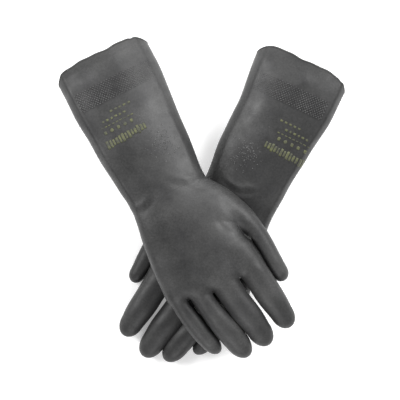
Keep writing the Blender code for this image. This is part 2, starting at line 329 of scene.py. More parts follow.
def placed(side, points):
    """Points of a glove's own frame, in millimetres, as world points in metres."""
    place = PLACES[side]
    turn = math.radians(place["turn"])
    u, v, w = np.asarray(points, float).T
    w = smooth_max(w, np.zeros_like(w), TABLE_SOFTNESS)
    across = np.array([math.cos(turn), math.sin(turn)]) * place["thumb_side"]
    along = np.array([math.sin(turn), -math.cos(turn)])
    x = place["cuff"][0] + u * across[0] + v * along[0]
    y = place["cuff"][1] + u * across[1] + v * along[1]
    return np.stack([x, y, w + lift_at(side, v)], axis=-1) * MM


def section_norm(x, y, power):
    return (np.abs(x) ** power + np.abs(y) ** power) ** (1 / power)


def tube_power(x, y, v):
    """The section's power: the back is squarer on the little finger's side and rounder on the thumb's."""
    on_hand = ramp(v, *SLEEVE_TO_HAND)
    back = np.where(x > 0, 2.15 + 0.45 * on_hand, 3.6 - 0.8 * on_hand)
    return np.where(y > 0, back, SECTION_POWER)


def tube_rows(side, v):
    """Centre across, centre height, half width and half height of the sleeve and palm at v."""
    rows = curve(TUBES[side], v)
    little, thumb, half = rows[..., 0], rows[..., 1], rows[..., 2]
    return (little + thumb) / 2, half - TABLE_FLAT, (thumb - little) / 2, half


def crest_shift(v):
    """How far the highest line of the back lies towards the little finger, as a share of the half width."""
    return 0.26 - 0.16 * ramp(v, *SLEEVE_TO_HAND)


def tube_points(side, v, angle):
    """Points on the sleeve and palm's surface at v, at an angle round it from the thumb side."""
    middle, height, half_width, half_height = tube_rows(side, v)
    x, y = np.cos(angle), np.sin(angle)
    norm = section_norm(x, y, tube_power(x, y, v))
    shift = crest_shift(v)
    u = middle - shift * half_width + half_width * (1 + np.where(x > 0, shift, -shift)) * x / norm
    return np.stack([u, v, height + half_height * y / norm], axis=-1)


def tube_field(side, points):
    """Distance to the sleeve and palm's surface, below zero inside, closed where the fingers part."""
    u, v, w = points.T
    middle, height, half_width, half_height = tube_rows(side, v)
    shift = crest_shift(v)
    x, y = u - middle + shift * half_width, w - height
    reach = half_width * (1 + np.where(x > 0, shift, -shift))
    norm = np.maximum(section_norm(x / reach, y / half_height, tube_power(x, y, v)), 1e-3)
    round_it = np.hypot(x, y) * (1 - 1 / norm)
    front = PALM_FRONT - PALM_SLANT * ramp(-u, 20, 40)
    return smooth_max(round_it, v - front, 9)


class Digit:
    """A digit's centre line, sampled finely, with its section's directions and half sizes."""

    def __init__(self, side, name):
        stations = np.array(DIGIT_STATIONS[name], float)
        self.cut = HINGE_V[side][name] - CUT_BEHIND
        self.bend = [HINGE_V[side][name] + reach for reach in BEND_REACH]
        if side == "left":
            share = ramp(stations[:, 1], stations[0, 1], stations[-1, 1])
            stations[:, :2] += share[:, None] * np.array(TIP_SHIFT[name])
        table = stations[:, [1, 0, 2, 3, 4]]
        self.v = np.arange(table[0, 0], table[-1, 0] + 0.01, 1.0)
        values = curve(table, self.v)
        self.centre = np.stack([values[:, 0], self.v, values[:, 1]], axis=-1)
        self.half = values[:, 2:]
        tangent = np.gradient(self.centre, axis=0)
        self.tangent = tangent / np.linalg.norm(tangent, axis=1)[:, None]
        across = np.array([1.0, 0, 0]) - self.tangent * self.tangent[:, :1]
        self.across = across / np.linalg.norm(across, axis=1)[:, None]
        self.up = np.cross(self.across, self.tangent)

    def at(self, v):
        """Centre, tangent, across, up and half sizes at v, held at the first and last stations."""

        def read(column):
            return np.stack([np.interp(v, self.v, column[:, k]) for k in range(column.shape[1])], axis=-1)

        return [read(c) for c in (self.centre, self.tangent, self.across, self.up, self.half)]

    def beyond(self, points, v):
        """How far points are past the digit's section at v."""
        centre, tangent, _, _, _ = self.at(v)
        return (points - centre) @ tangent

    def field(self, points):
        """Distance to the digit's surface, below zero inside, closed behind its first station."""
        samples = slice(None, None, 3)
        ahead = np.einsum("nik,ik->ni", points[:, None] - self.centre[samples], self.tangent[samples])
        count = ahead.shape[1]
        k = np.clip(np.sum(ahead > 0, axis=1) - 1, 0, count - 2)
        row = np.arange(len(points))
        t = ahead[row, k] / (ahead[row, k] - ahead[row, k + 1])
        v = self.v[samples][k] + np.clip(t, 0, 1) * 3
        centre, _, across, up, half = self.at(v)
        offset = points - centre
        x, y = np.sum(offset * across, axis=1), np.sum(offset * up, axis=1)
        norm = np.maximum(section_norm(x / half[:, 0], y / half[:, 1], DIGIT_POWER), 1e-3)
        return smooth_max(np.hypot(x, y) * (1 - 1 / norm), -ahead[:, 0], 6)


digits = {side: {name: Digit(side, name) for name in DIGITS} for side in SIDES}


def hand_fields(side, points):
    """Distances to the tube and to each digit, kept large where a digit is far away."""
    fields = {"tube": tube_field(side, points)}
    for name, digit in digits[side].items():
        low = (digit.centre - 30).min(axis=0)
        high = (digit.centre + 30).max(axis=0)
        near = np.all((points > low) & (points < high), axis=1)
        distance = np.full(len(points), 30.0)
        past = digit.beyond(points[near], digit.cut)
        distance[near] = smooth_max(digit.field(points[near]), past - 3, 2)
        fields[name] = distance
    return fields


def hand_field(side, points):
    """The smooth union of the palm and the digits' roots, with webs between them."""
    fields = hand_fields(side, points)
    v = points[:, 1]
    reach = 1 + 15 * ramp(v, 150, 174) - 15.2 * ramp(v, *THUMB_WEB[side])
    whole = smooth_min(fields["tube"], fields["thumb"], reach)
    fingers = fields["index"]
    for name in FINGERS[1:]:
        fingers = smooth_min(fingers, fields[name], 3 - 2.4 * ramp(v, 244, 257))
    return smooth_min(whole, fingers, 9 - 4.5 * ramp(v, 238, 256))


def surface_net(values, origin, step):
    """Vertices and quads of the zero surface of a grid of values."""
    cells = np.array(values.shape) - 1
    total = np.zeros((*cells, 3))
    count = np.zeros(cells)

    def corner(offset):
        return values[tuple(slice(o, o + n) for o, n in zip(offset, cells))]

    for axis in range(3):
        for a in (0, 1):
            for b in (0, 1):
                start = [0, 0, 0]
                start[(axis + 1) % 3], start[(axis + 2) % 3] = a, b
                end = list(start)
                end[axis] = 1
                low, high = corner(start), corner(end)
                crosses = (low < 0) != (high < 0)
                share = np.where(crosses, low / np.where(crosses, low - high, 1), 0)
                for k in range(3):
                    total[..., k] += crosses * (start[k] + (share if k == axis else 0))
                count += crosses
    used = count > 0
    index = np.full(cells, -1)
    index[used] = np.arange(used.sum())
    vertices = origin + step * (np.argwhere(used) + total[used] / count[used][:, None])
    quads = []
    inside = values < 0
    for axis in range(3):
        b, c = (axis + 1) % 3, (axis + 2) % 3
        low = np.moveaxis(inside, (axis, b, c), (0, 1, 2))[:-1, 1:-1, 1:-1]
        high = np.moveaxis(inside, (axis, b, c), (0, 1, 2))[1:, 1:-1, 1:-1]
        cell = np.moveaxis(index, (axis, b, c), (0, 1, 2))
        for leaving in (True, False):
            i, j, k = np.nonzero((low != high) & (low == leaving))
            ring = [cell[i, j, k], cell[i, j + 1, k], cell[i, j + 1, k + 1], cell[i, j, k + 1]]
            quads.append(np.stack(ring if leaving else ring[::-1], axis=-1))
    return vertices, np.concatenate(quads)


def gradient(side, points, reach=0.3):
    columns = []
    for axis in np.eye(3) * reach:
        columns.append((hand_field(side, points + axis) - hand_field(side, points - axis)) / (2 * reach))
    return np.stack(columns, axis=-1)


def relaxed(side, vertices, quads):
    """Vertices evened out over the surface and put exactly on it."""
    edges = np.concatenate([quads[:, [k, (k + 1) % 4]] for k in range(4)])
    for _ in range(3):
        total = np.zeros_like(vertices)
        count = np.zeros(len(vertices))
        np.add.at(total, edges[:, 0], vertices[edges[:, 1]])
        np.add.at(count, edges[:, 0], 1)
        vertices = total / np.maximum(count, 1)[:, None]
        slope = gradient(side, vertices)
        distance = hand_field(side, vertices)
        vertices = vertices - slope * (distance / np.maximum(np.sum(slope**2, axis=1), 0.2))[:, None]
    return vertices


def vertex_normals(vertices, faces):
    """Area-weighted vertex normals of quads."""
    a, b, c, d = (vertices[faces[:, k]] for k in range(4))
    face_normals = np.cross(c - a, d - b)
    normals = np.zeros_like(vertices)
    for k in range(4):
        np.add.at(normals, faces[:, k], face_normals)
    return normals / np.maximum(np.linalg.norm(normals, axis=1), 1e-12)[:, None]


WAVES = np.random.default_rng(7).normal(size=(14, 4))


def swell(points):
    """Slow, shallow unevenness of a dipped skin, in millimetres."""
    total = np.zeros(len(points))
    for x, y, z, phase in WAVES:
        direction = np.array([x, y, z]) / math.sqrt(x * x + y * y + z * z)
        length = SWELL_LENGTH + SWELL_SPREAD * math.sin(5 * phase)
        total += np.sin(points @ direction * 2 * math.pi / length + 6 * phase)
    return total * SWELL_HEIGHT


def shaped(side, points, normals):
    """Surface points with the creases, dents and unevenness of the real skin."""
    u, v, w = points.T
    middle, height, half_width, _ = tube_rows(side, v)
    across = (u - middle) / half_width
    top = ramp(w - height, 0, 8)
    on_sleeve = top * (1 - ramp(v, *CREASE_FADE))
    distance = (across - CREASE[side]) * half_width
    raised = 1.0 * np.exp(-((distance / 2.6) ** 2)) - 0.8 * np.exp(-(((distance - 8) / 6) ** 2))
    thumb_line = 0.7 * np.exp(-((((across - THUMB_LINE) * half_width) / 3.0) ** 2))
    push = on_sleeve * (raised + thumb_line)
    for at_u, at_v, size, amount in CUFF_DENTS[side]:
        spot = np.exp(-(((u - at_u) / size) ** 2) - ((v - at_v) / (0.6 * size)) ** 2)
        push = push + top * amount * spot
    for at_u, at_v, heading, length, width, depth in FOLDS[side]:
        turn = math.radians(heading)
        along = (u - at_u) * math.cos(turn) + (v - at_v) * math.sin(turn)
        off = (v - at_v) * math.cos(turn) - (u - at_u) * math.sin(turn) + along**2 / (3 * length)
        push = push + top * depth * np.exp(-((along / length) ** 2) - (off / width) ** 2)
    push = push + swell(points)
    return points + normals * push[:, None]


def rim_v(side, u):
    """The cuff's rim bows outwards in the middle of the back."""
    middle, _, half_width, _ = tube_rows(side, np.zeros_like(u))
    share = np.clip(np.abs(u - middle) / half_width, 0, 1)
    wavy = 0.45 * np.sin(u / 6.3 + 1.0) + 0.3 * np.sin(u / 3.1)
    notch = 1.3 * np.exp(-(((u - RIM_NOTCH[side]) / 1.8) ** 2))
    return -8.3 + 11.5 * share**8 + (wavy + notch) * (1 - share**8)


def grid_faces(rows, columns):
    """Quads over rows of closed rings."""
    r, c = np.meshgrid(np.arange(rows - 1), np.arange(columns), indexing="ij")
    a = (r * columns + c).ravel()
    b = (r * columns + (c + 1) % columns).ravel()
    return np.stack([a, b, b + columns, a + columns], axis=-1)


def sleeve_surface(side):
    """Points and quads of the sleeve from its rim to the wrist cut, and one ring more."""
    columns, rows = SLEEVE_COLUMNS, SLEEVE_ROWS
    angle = 2 * math.pi * np.arange(columns) / columns
    rim = rim_v(side, tube_points(side, np.zeros(columns), angle)[:, 0])
    share = np.arange(rows + 2) / rows
    v = rim + (WRIST_CUT - rim) * share[:, None]
    points = tube_points(side, v.ravel(), np.tile(angle, rows + 2))
    faces = grid_faces(rows + 2, columns)[:, ::-1]
    normals = vertex_normals(points, faces)
    points = shaped(side, points, normals)
    normals = vertex_normals(points, faces)
    kept = (rows + 1) * columns
    return points[:kept], grid_faces(rows + 1, columns)[:, ::-1], normals[:kept]


def digit_surface(side, name):
    """Points and quads of a digit from its cut to its rounded tip."""
    digit = digits[side][name]
    columns, cap_rows = DIGIT_COLUMNS, TIP_ROWS
    v = np.concatenate([[digit.cut - 1.4], np.linspace(digit.cut, digit.v[-1], DIGIT_ROWS)])
    centre, tangent, across, up, half = digit.at(v)
    reach = TIP_REACH[name]
    turn = np.linspace(0, math.pi / 2, cap_rows + 1)[1:]
    turn[-1] -= 0.03
    cap_centre = centre[-1] + tangent[-1] * (np.sin(turn) * reach)[:, None]
    cap_half = half[-1] * np.cos(turn)[:, None]
    centre = np.concatenate([centre, cap_centre])
    half = np.concatenate([half, cap_half])
    across = np.concatenate([across, np.repeat(across[-1:], cap_rows, axis=0)])
    up = np.concatenate([up, np.repeat(up[-1:], cap_rows, axis=0)])
    angle = 2 * math.pi * np.arange(columns) / columns
    x, y = np.cos(angle), np.sin(angle)
    norm = section_norm(x, y, DIGIT_POWER)
    points = (
        centre[:, None]
        + across[:, None] * (half[:, :1] * x / norm)[..., None]
        + up[:, None] * (half[:, 1:] * y / norm)[..., None]
    ).reshape(-1, 3)
    rows = len(centre)
    faces = grid_faces(rows, columns)[:, ::-1]
    normals = vertex_normals(points, faces)
    sunk = np.maximum(-hand_field(side, points[columns : 2 * columns]), 0)
    lift = sunk * np.clip(1 - sunk / 6, 0, 1)
    fade = np.zeros(rows)
    fade[: len(v)] = 1 - ramp(v - digit.cut, 0, 9)
    push = swell(points) + (fade[:, None] * lift).ravel()
    points = points + normals * push[:, None]
    normals = vertex_normals(points, faces)
    points, normals = points[columns:], normals[columns:]
    return points, grid_faces(rows - 1, columns)[:, ::-1], normals


def hand_surface(side):
    """Points and quads of the hand, as a mesh cut at the wrist and across each digit's root."""
    low = np.array(HAND_LOW)
    shape = (np.array(HAND_SIZE) / HAND_STEP).astype(int)
    axes = [low[k] + HAND_STEP * np.arange(shape[k]) for k in range(3)]
    points = np.stack(np.meshgrid(*axes, indexing="ij"), axis=-1)
    values = hand_field(side, points.reshape(-1, 3)).reshape(points.shape[:3])
    vertices, quads = surface_net(values, low, HAND_STEP)
    vertices = relaxed(side, vertices, quads)
    normals = vertex_normals(vertices, quads)
    vertices = shaped(side, vertices, normals)
    normals = vertex_normals(vertices, quads)
    return cut_hand(side, vertices, quads, normals)


def cut_hand(side, vertices, quads, normals):
    """The hand without what lies past its cuts, each cut clean along its plane."""
    mesh = bpy.data.meshes.new("cutting")
    mesh.from_pydata(vertices, [], quads.tolist())
    mesh.attributes.new("direction", "FLOAT_VECTOR", "POINT").data.foreach_set("vector", normals.ravel())
    shape = bmesh.new()
    shape.from_mesh(mesh)
    everything = shape.verts[:] + shape.edges[:] + shape.faces[:]
    bmesh.ops.bisect_plane(
        shape, geom=everything, plane_co=(0, WRIST_CUT, 0), plane_no=(0, -1, 0), clear_outer=True
    )
    for name in DIGITS:
        cut_digit(side, shape, name)
    drop_crumbs(shape)
    even_edges(side, shape)
    shape.to_mesh(mesh)
    shape.free()
    found = np.empty(len(mesh.vertices) * 3)
    mesh.vertices.foreach_get("co", found)
    direction = np.empty_like(found)
    mesh.attributes["direction"].data.foreach_get("vector", direction)
    faces = [list(face.vertices) for face in mesh.polygons]
    bpy.data.meshes.remove(mesh)
    direction = direction.reshape(-1, 3)
    direction /= np.linalg.norm(direction, axis=1)[:, None]
    return found.reshape(-1, 3), faces, direction


def drop_crumbs(shape):
    """Deletes the small loose islands that the cuts leave behind."""
    islands, seen = [], set()
    for face in shape.faces:
        if face in seen:
            continue
        seen.add(face)
        island = [face]
        for member in island:
            for edge in member.edges:
                fresh = [other for other in edge.link_faces if other not in seen]
                seen.update(fresh)
                island += fresh
        islands.append(island)
    islands.sort(key=len)
    crumbs = [face for island in islands[:-1] for face in island]
    bmesh.ops.delete(shape, geom=crumbs, context="FACES")


def on_a_cut(side, places):
    """Whether points lie on the wrist's cut or on a digit's own cut."""
    held = np.abs(places[:, 1] - WRIST_CUT) < 0.05
    for digit in digits[side].values():
        held |= (np.abs(digit.beyond(places, digit.cut)) < 0.05) & (np.abs(digit.field(places)) < 1)
    return held


def open_edges(faces):
    """The edges that only one face uses, in the order of the faces."""
    used = {pair: True for face in faces for pair in zip(face, face[1:] + face[:1])}
    return [(a, b) for a, b in used if (b, a) not in used]


def without_web_edges(side, surface):
    """The hand's surface stopping short of the edges in the webs, so that less of the lining shows."""
    points, faces, normals = surface
    for _ in range(3):
        edge = np.array(sorted({k for pair in open_edges(faces) for k in pair}))
        ragged = set(edge[~on_a_cut(side, points[edge])].tolist())
        faces = [face for face in faces if not ragged.intersection(face)]
    kept = np.unique(np.concatenate([np.array(face) for face in faces]))
    place = {int(k): n for n, k in enumerate(kept)}
    return points[kept], [[place[k] for k in face] for face in faces], normals[kept]


def even_edges(side, shape):
    """Evens out the ragged open edges in the webs, leaving the straight cuts as they are."""
    rims = {}
    for vert in shape.verts:
        edges = [edge for edge in vert.link_edges if edge.is_boundary]
        if len(edges) == 2:
            rims[vert] = [edge.other_vert(vert) for edge in edges]
    held = on_a_cut(side, np.array([vert.co for vert in rims]))
    loose = [vert for vert, hold in zip(rims, held) if not hold]
    for _ in range(10):
        moved = [(vert.co + (rims[vert][0].co + rims[vert][1].co) / 2) / 2 for vert in loose]
        for vert, place in zip(loose, moved):
            vert.co = place


def cut_digit(side, shape, name):
    """Cuts the hand along a digit's own plane and deletes the digit past it."""
    digit = digits[side][name]
    centre, tangent, _, _, _ = digit.at(np.array(digit.cut))

    def own_faces(reach):
        """The digit's own faces whose middles lie past its cut by more than reach."""
        middles = np.array([face.calc_center_median() for face in shape.faces])
        fields = hand_fields(side, middles)
        own = fields[name] <= np.min(list(fields.values()), axis=0) + 1e-6
        shape.faces.ensure_lookup_table()
        return [shape.faces[k] for k in np.nonzero(own & (digit.beyond(middles, digit.cut) > reach))[0]]

    near = own_faces(-5)
    edges = {edge for face in near for edge in face.edges}
    verts = {vert for face in near for vert in face.verts}
    bmesh.ops.bisect_plane(shape, geom=[*verts, *edges, *near], plane_co=centre, plane_no=tangent)
    bmesh.ops.delete(shape, geom=own_faces(1e-4), context="FACES")


def linked(name, data):
    obj = bpy.data.objects.new(name, data)
    bpy.context.scene.collection.objects.link(obj)
    return obj


def closed_skin(name, side, surface, depth, wall):
    """A closed skin of a given wall, its outer face at a depth under the surface, in its place."""
    points, faces, normals = surface
    faces = [list(face) for face in faces]
    count = len(points)
    outer, inner = points - normals * depth, points - normals * (depth + wall)
    rim = [(b, a, a + count, b + count) for a, b in open_edges(faces)]
    inside = [[k + count for k in face[::-1]] for face in faces]
    world = placed(side, np.concatenate([outer, inner]))
    everything = faces + inside + rim
    if PLACES[side]["thumb_side"] > 0:
        everything = [face[::-1] for face in everything]
    mesh = bpy.data.meshes.new(name)
    mesh.from_pydata(world, [], everything)
    mesh.shade_smooth()
    obj = linked(name, mesh)
    give_normals(side, obj, points, normals, len(rim))
    return obj


def give_normals(side, obj, points, normals, rim_count):
    """Normals that match across the cuts: the surface's own, turned into the world, with flat rims."""
    step = 0.05
    tilted = placed(side, points + normals * step) - placed(side, points)
    place = PLACES[side]
    turn = math.radians(place["turn"])
    across = np.array([math.cos(turn), math.sin(turn), 0]) * place["thumb_side"]
    along = np.array([math.sin(turn), -math.cos(turn), 0])
    slope = lift_at(side, points[:, 1] + 0.5) - lift_at(side, points[:, 1] - 0.5)
    world = normals[:, :1] * across + (normals[:, 1] - normals[:, 2] * slope)[:, None] * along
    world[:, 2] += normals[:, 2]
    world /= np.linalg.norm(world, axis=1)[:, None]
    flat = tilted[:, 2] < 0.2 * step * MM * np.abs(normals[:, 2])
    world[flat & (normals[:, 2] < -0.5)] = (0, 0, -1)
    mesh = obj.data
    corners = np.empty(len(mesh.loops), int)
    mesh.loops.foreach_get("vertex_index", corners)
    of_corners = np.concatenate([world, -world])[corners]
    flat_faces = np.empty(3 * len(mesh.polygons))
    mesh.polygons.foreach_get("normal", flat_faces)
    of_corners[-4 * rim_count :] = np.repeat(flat_faces.reshape(-1, 3)[-rim_count:], 4, axis=0)
    mesh.normals_split_custom_set(of_corners)


def solid(name, side, points, faces):
    """A closed mesh of plain faces, all turned outwards, from points in the glove's frame."""
    mesh = bpy.data.meshes.new(name)
    mesh.from_pydata(placed(side, np.asarray(points)), [], [list(face) for face in faces])
    mesh.shade_smooth()
    shape = bmesh.new()
    shape.from_mesh(mesh)
    bmesh.ops.recalc_face_normals(shape, faces=shape.faces)
    shape.to_mesh(mesh)
    shape.free()
    return linked(name, mesh)


def bead(side):
    """The rolled edge of the cuff, a round cord of rubber along the rim."""
    columns, sides = SLEEVE_COLUMNS, BEAD_SIDES
    angle = 2 * math.pi * np.arange(columns) / columns
    rim = rim_v(side, tube_points(side, np.zeros(columns), angle)[:, 0])
    line = tube_points(side, rim, angle)
    inner = tube_points(side, rim + 1, angle)
    normals = np.cross(np.roll(line, -1, axis=0) - np.roll(line, 1, axis=0), inner - line)
    normals /= np.linalg.norm(normals, axis=1)[:, None]
    normals *= np.sign(np.sum(normals * (line - line.mean(axis=0)), axis=1))[:, None]
    line = shaped(side, line, normals) - normals * (RUBBER_WALL / 2 + 0.1)
    line[:, 2] = np.maximum(line[:, 2], BEAD_RADIUS * 0.8)
    points = []
    for k in range(sides):
        turn = 2 * math.pi * k / sides
        offset = normals * math.cos(turn) + np.array([0, -1, 0]) * math.sin(turn)
        points.append(line + offset * BEAD_RADIUS)
    points = np.concatenate(points)
    faces = []
    for k in range(sides):
        j = (k + 1) % sides
        for c in range(columns):
            d = (c + 1) % columns
            faces.append((k * columns + c, k * columns + d, j * columns + d, j * columns + c))
    return solid(f"{side}_rolled_edge", side, points, faces)


def back_of_sleeve(side, u, v, height=0.0):
    """Points on the back of the sleeve above (u, v), at a height off the rubber."""
    u, v = np.broadcast_arrays(np.asarray(u, float), np.asarray(v, float))
    u, v = u.ravel(), v.ravel()

    def top(u, v):
        middle, centre, half_width, half_height = tube_rows(side, v)
        shift = crest_shift(v)
        x = u - middle + shift * half_width
        share = np.clip(np.abs(x) / (half_width * (1 + np.where(x > 0, shift, -shift))), 0, 0.995)
        power = tube_power(x, 1, v)
        return np.stack([u, v, centre + half_height * (1 - share**power) ** (1 / power)], axis=-1)

    base = top(u, v)
    normals = np.cross(top(u + 0.2, v) - top(u - 0.2, v), top(u, v + 0.2) - top(u, v - 0.2))
    normals /= np.linalg.norm(normals, axis=1)[:, None]
    return shaped(side, base, normals) + normals * height


def studs(name, side, spots, radius, height, sides=7):
    """Low round studs on the back of the sleeve, each a small closed dome sunk into the rubber."""
    points, faces = [], []
    turn = 2 * math.pi * np.arange(sides) / sides
    for (u, v), size in spots:
        first = len(points)
        for ring, lift in STUD_RINGS:
            r = radius * ring * size
            points += list(back_of_sleeve(side, u + r * np.cos(turn), v + r * np.sin(turn), height * lift))
        points += list(back_of_sleeve(side, u, v, height))
        for row in range(2):
            for k in range(sides):
                j = (k + 1) % sides
                a = first + row * sides
                faces.append((a + k, a + j, a + sides + j, a + sides + k))
        last = first + 2 * sides
        faces += [(last + k, last + (k + 1) % sides, first + 3 * sides) for k in range(sides)]
        faces.append(tuple(first + k for k in range(sides)))
    return solid(name, side, points, faces)


def grip_band(side):
    """Staggered rows of fine studs across the back of the cuff, wearing away towards the thumb."""
    random = np.random.default_rng(11)
    first, last = GRIP_BAND[side]
    spots = []
    rows = int((GRIP_V[1] - GRIP_V[0]) / STUD_PITCH[1])
    for row in range(rows):
        v = GRIP_V[0] + row * STUD_PITCH[1]
        shift = STUD_PITCH[0] / 2 if row % 2 else 0
        for u in np.arange(first + shift, last, STUD_PITCH[0]):
            worn = 0.55 * ramp(u, last - 34, last) + 0.3 * math.exp(-(((u + 2) / 7) ** 2))
            spots.append(((u, v), 1 - worn + 0.05 * random.normal()))
    return studs(f"{side}_grip_studs", side, spots, *STUD_SIZE)


def specks(side):
    """Tiny bumps left by the dip between the marking and the wrist."""
    random = np.random.default_rng(23)
    spots = []
    for _ in range(SPECK_COUNT):
        u, v = random.normal(SPECK_MIDDLE, SPECK_SPREAD)
        if v < SPECK_END:
            spots.append(((u, v), random.uniform(0.35, 1)))
    return studs(f"{side}_dip_specks", side, spots, *SPECK_SIZE, sides=6)


def patch(side, outline, height, thickness):
    """A thin printed patch, from an outline of (u, v) points, laid on the back of the sleeve."""
    count = len(outline)
    outline = np.array(outline, float)
    middle = outline.mean(axis=0)
    rings = [middle + (outline - middle) * share for share in (1.0, 0.5)]
    points = []
    for lift in (height + thickness, height):
        for ring in rings:
            points += list(back_of_sleeve(side, ring[:, 0], ring[:, 1], lift))
        points += list(back_of_sleeve(side, middle[0], middle[1], lift))
    layer = 2 * count + 1
    faces = []
    for k in range(count):
        j = (k + 1) % count
        for base in (0, layer):
            faces.append((base + k, base + j, base + count + j, base + count + k))
            faces.append((base + count + k, base + count + j, base + 2 * count))
        faces.append((k, j, layer + j, layer + k))
    return points, faces


def rounded_box(u, v, width, length, steps=3):
    """Outline of a small box with rounded corners, centred on (u, v)."""
    radius = min(width, length) * 0.3
    found = []
    for corner, (sx, sy) in enumerate(((1, 1), (-1, 1), (-1, -1), (1, -1))):
        for k in range(steps + 1):
            turn = math.pi / 2 * (corner + k / steps)
            found.append((
                u + sx * (width / 2 - radius) + radius * math.cos(turn),
                v + sy * (length / 2 - radius) + radius * math.sin(turn),
            ))
    return found


def disc(u, v, radius, steps=14):
    turns = [2 * math.pi * k / steps for k in range(steps)]
    return [(u + radius * math.cos(t), v + radius * math.sin(t)) for t in turns]


def marking(side):
    """A generic printed block: a row of plain bars, and nearer the rim rows of boxes, discs and dashes."""
    u, v = MARKING[side]
    outlines = []
    for k in range(13):
        width, height = (2.9, 8.6) if k % 5 == 0 else (2.1 + 0.5 * (k % 2), 6.4 + 1.6 * (k % 3 == 1))
        outlines.append(rounded_box(u - 20 + k * 3.4, v - 0.136 * k, width, height))
    for k in range(5):
        spot = (u - 17 + k * 7.2, v - 12)
        outlines.append(disc(*spot, 1.9) if k % 2 else rounded_box(*spot, 3.0, 3.6))
    for k in range(9):
        outlines.append(rounded_box(u - 18 + k * 4.1, v - 17.5, 2.7, 1.0))
    for k in range(6):
        outlines.append(rounded_box(u - 14 + k * 4.6, v - 23, 2.2 + 0.8 * (k % 2), 2.2))
    for k in range(5):
        outlines.append(rounded_box(u - 2 + k * 4.8, v - 29.5, 3.0, 1.9))
    points, faces = [], []
    for outline in outlines:
        more, quads = patch(side, outline, INK_HEIGHT, INK_THICKNESS)
        faces += [tuple(k + len(points) for k in face) for face in quads]
        points += more
    return solid(f"{side}_printed_marking", side, points, faces)


def shader(name):
    """A new material, its surface node and the coordinates of the object's own space."""
    made = bpy.data.materials.new(name)
    made.use_nodes = True
    nodes = made.node_tree.nodes
    return made, nodes["Principled BSDF"], nodes.new("ShaderNodeTexCoord").outputs["Object"]


def feed(value, target):
    value.id_data.links.new(value, target)


def noise(where, scale, detail=3.0, roughness=0.5):
    node = where.id_data.nodes.new("ShaderNodeTexNoise")
    node.inputs["Scale"].default_value = scale
    node.inputs["Detail"].default_value = detail
    node.inputs["Roughness"].default_value = roughness
    feed(where, node.inputs["Vector"])
    return node.outputs["Fac"]


def ranged(value, low, high, start=0.3, end=0.7):
    node = value.id_data.nodes.new("ShaderNodeMapRange")
    node.inputs["From Min"].default_value = start
    node.inputs["From Max"].default_value = end
    node.inputs["To Min"].default_value = low
    node.inputs["To Max"].default_value = high
    feed(value, node.inputs["Value"])
    return node.outputs["Result"]


def mixed(share, low, high):
    """A mix of two colours, the first of which may come from another node."""
    node = share.id_data.nodes.new("ShaderNodeMix")
    node.data_type = "RGBA"
    if isinstance(low, tuple):
        node.inputs["A"].default_value = (*low, 1)
    else:
        feed(low, node.inputs["A"])
    node.inputs["B"].default_value = (*high, 1)
    feed(share, node.inputs["Factor"])
    return node.outputs["Result"]


def combined(operation, first, second):
    node = first.id_data.nodes.new("ShaderNodeMath")
    node.operation = operation
    feed(first, node.inputs[0])
    feed(second, node.inputs[1])
    return node.outputs["Value"]


def bump(height, distance, strength, before=None):
    node = height.id_data.nodes.new("ShaderNodeBump")
    node.inputs["Distance"].default_value = distance
    node.inputs["Strength"].default_value = strength
    feed(height, node.inputs["Height"])
    if before is not None:
        feed(before, node.inputs["Normal"])
    return node.outputs["Normal"]


def rubber_material(name, dark, light, roughness):
    """Matt dipped rubber: cloudy tone, chalky haze, painted light and shade from the mesh's attribute,
    uneven polish and a fine pebbled grain.
    """
    made, surface, where = shader(name)
    clouds = noise(where, 42, 5, 0.6)
    grain = noise(where, 1300, 2)
    pebbles = noise(where, 520, 3, 0.6)
    tone = mixed(ranged(clouds, 0, 1), dark, light)
    haze = ranged(noise(where, 17, 6, 0.62), 0, 0.3, 0.47, 0.72)
    speckle = ranged(noise(where, 900, 2, 0.7), 0.2, 1)
    dust = combined("MULTIPLY", haze, speckle)
    dusty = mixed(dust, tone, (0.105, 0.105, 0.104))
    # The mesh's attribute of painted light and shade scales the tone, together with the flecks.
    wear_and_painted_light = made.node_tree.nodes.new("ShaderNodeAttribute")
    wear_and_painted_light.attribute_name = "wear_and_painted_light"
    fleck = ranged(noise(where, 480, 3, 0.7), 0.72, 1.3)
    dimmed = made.node_tree.nodes.new("ShaderNodeVectorMath")
    dimmed.operation = "SCALE"
    feed(dusty, dimmed.inputs[0])
    feed(combined("ADD", wear_and_painted_light.outputs["Fac"], fleck), dimmed.inputs["Scale"])
    feed(dimmed.outputs["Vector"], surface.inputs["Base Color"])
    polish = ranged(noise(where, 90, 5), roughness - 0.07, roughness + 0.07)
    feed(polish, surface.inputs["Roughness"])
    fine = bump(grain, 0.0001, 0.3)
    feed(bump(pebbles, 0.00028, 0.35, fine), surface.inputs["Normal"])
    surface.inputs["Specular IOR Level"].default_value = 0.34
    return made


def flock_material():
    """Short cotton pile, dull and speckled."""
    made, surface, where = shader("flock")
    pile = noise(where, 1600, 4, 0.7)
    tone = ranged(pile, 0, 1)
    feed(mixed(tone, (0.10, 0.098, 0.092), (0.21, 0.205, 0.195)), surface.inputs["Base Color"])
    surface.inputs["Roughness"].default_value = 0.95
    surface.inputs["Sheen Weight"].default_value = 0.5
    feed(bump(pile, 0.0004, 0.8), surface.inputs["Normal"])
    return made


def ink_material():
    """Olive ink, worn thin in patches."""
    made, surface, where = shader("ink")
    # The ink's worn patches are real wear of the print.
    wear_and_painted_light = ranged(noise(where, 260, 5, 0.72), 0, 1, 0.38, 0.66)
    feed(mixed(wear_and_painted_light, (0.027, 0.028, 0.022), (0.083, 0.088, 0.03)), surface.inputs["Base Color"])
    surface.inputs["Roughness"].default_value = 0.62
    feed(bump(wear_and_painted_light, 0.00008, 0.4), surface.inputs["Normal"])
    return made


def dressed(obj, material):
    obj.data.materials.append(material)


def bend(obj):
    """Bakes the piece's placement into its mesh; the piece is not bent."""
    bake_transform(obj)


def bend_at_wrist(obj, side):
    middle, height, _, _ = tube_rows(side, np.array(WRIST_BEND, float))
    bend(obj)


